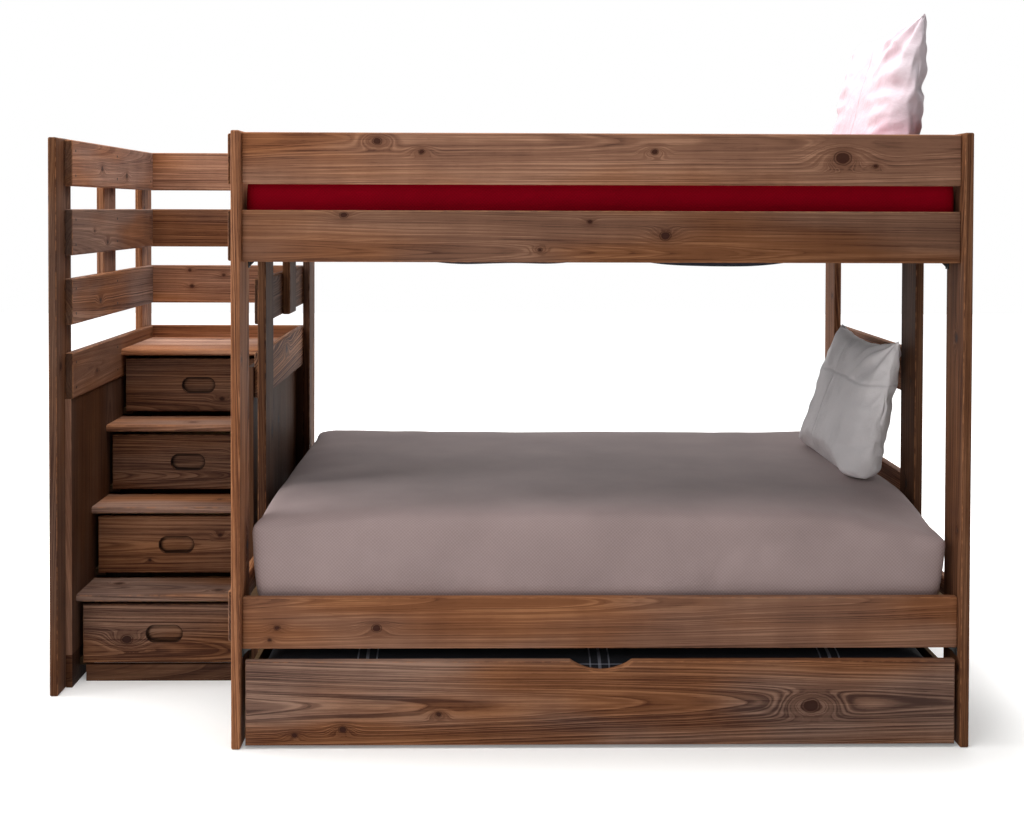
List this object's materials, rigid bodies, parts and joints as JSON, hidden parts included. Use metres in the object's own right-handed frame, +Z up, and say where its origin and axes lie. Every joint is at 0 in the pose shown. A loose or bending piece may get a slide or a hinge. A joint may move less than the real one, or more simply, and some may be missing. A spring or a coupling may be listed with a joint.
{
  "type": "bunk bed with stairs",
  "caption": "Plank bunk bed of stained pine with made-up upper and lower bunks, a guarded drawer stair at one end and a rolling trundle under the lower bunk.",
  "frame": {"origin": "on the floor, in the middle of the whole footprint of bunk and stair", "axes": "+X along the bed from the stair to the head end, +Y from the front to the back, +Z up"},
  "size_m": [2.643, 1.485, 2.0254],
  "materials": {
    "stained_pine": "satin chestnut stain, knots and grain showing",
    "plain_pine": "unstained, sanded",
    "black_steel": "black paint",
    "wheel_plastic": "moulded",
    "taupe_cover": "fitted cover with a fine dotted weave",
    "crimson_cover": "woven cover",
    "plaid_cover": "woven check",
    "navy_cover": "thin dust cover",
    "grey_cotton": "plain cotton case",
    "blush_cotton": "plain cotton case"
  },
  "bodies": {
    "frame": {"post_front_left": "stained_pine", "post_mid_left": "stained_pine", "post_back_left": "stained_pine", "post_front_right": "stained_pine", "post_mid_right": "stained_pine", "post_back_right": "stained_pine", "stair_post_front": "stained_pine", "stair_post_back": "stained_pine", "guard_rail_front": "stained_pine", "guard_rail_back": "stained_pine", "upper_side_rail_front": "stained_pine", "upper_side_rail_back": "stained_pine", "lower_side_rail_front": "stained_pine", "lower_side_rail_back": "stained_pine", "left_end_board_top": "stained_pine", "left_end_board_second": "stained_pine", "left_end_board_third": "stained_pine", "left_end_board_fourth": "stained_pine", "left_end_board_low": "stained_pine", "left_end_batten": "stained_pine", "right_end_board_top": "stained_pine", "right_end_board_second": "stained_pine", "right_end_board_head": "stained_pine", "right_end_board_mid": "stained_pine", "right_end_board_low": "stained_pine", "stair_guard_board_1": "stained_pine", "stair_guard_board_2": "stained_pine", "stair_guard_board_3": "stained_pine", "stair_guard_board_4": "stained_pine", "stair_guard_batten": "stained_pine", "stair_back_boards": "stained_pine", "stair_panel_left": "stained_pine", "stair_panel_right": "stained_pine", "stair_base_boards": "stained_pine", "stair_tread_1": "stained_pine", "stair_tread_2": "stained_pine", "stair_tread_3": "stained_pine", "stair_platform": "stained_pine", "slat_cleats": "plain_pine", "lower_slats": "plain_pine", "drawer_runners": "plain_pine", "rail_brackets": "black_steel", "upper_foundation": "navy_cover", "lower_mattress": "taupe_cover", "upper_mattress": "crimson_cover", "lower_pillow": "grey_cotton", "upper_pillow": "blush_cotton"},
    "drawer_1": {"drawer_front_1": "stained_pine", "drawer_box_1": "plain_pine"},
    "drawer_2": {"drawer_front_2": "stained_pine", "drawer_box_2": "plain_pine"},
    "drawer_3": {"drawer_front_3": "stained_pine", "drawer_box_3": "plain_pine"},
    "drawer_4": {"drawer_front_4": "stained_pine", "drawer_box_4": "plain_pine"},
    "trundle": {"trundle_front": "stained_pine", "trundle_frame": "plain_pine", "trundle_mattress": "plaid_cover"},
    "wheels_front": {"trundle_wheels_front": "wheel_plastic"},
    "wheels_back": {"trundle_wheels_back": "wheel_plastic"}
  },
  "joints": [
    {"name": "drawer_1_slide", "type": "slide", "parent": "frame", "child": "drawer_1", "axis": [0, -1, 0], "range_m": [0, 0.3]},
    {"name": "drawer_2_slide", "type": "slide", "parent": "frame", "child": "drawer_2", "axis": [0, -1, 0], "range_m": [0, 0.3]},
    {"name": "drawer_3_slide", "type": "slide", "parent": "frame", "child": "drawer_3", "axis": [0, -1, 0], "range_m": [0, 0.3]},
    {"name": "drawer_4_slide", "type": "slide", "parent": "frame", "child": "drawer_4", "axis": [0, -1, 0], "range_m": [0, 0.3]},
    {"name": "trundle_slide", "type": "slide", "parent": "frame", "child": "trundle", "axis": [0, -1, 0], "range_m": [0, 0.95]},
    {"name": "wheels_front_spin", "type": "hinge", "parent": "trundle", "child": "wheels_front", "pos_m": [0.2965, -0.5915, 0.025], "axis": [1, 0, 0], "continuous": true},
    {"name": "wheels_back_spin", "type": "hinge", "parent": "trundle", "child": "wheels_back", "pos_m": [0.2965, 0.1435, 0.025], "axis": [1, 0, 0], "continuous": true}
  ],
  "couplings": [
    {"joint": "wheels_front_spin", "follows": "trundle_slide", "rad_per_m": 40},
    {"joint": "wheels_back_spin", "follows": "trundle_slide", "rad_per_m": 40}
  ]
}
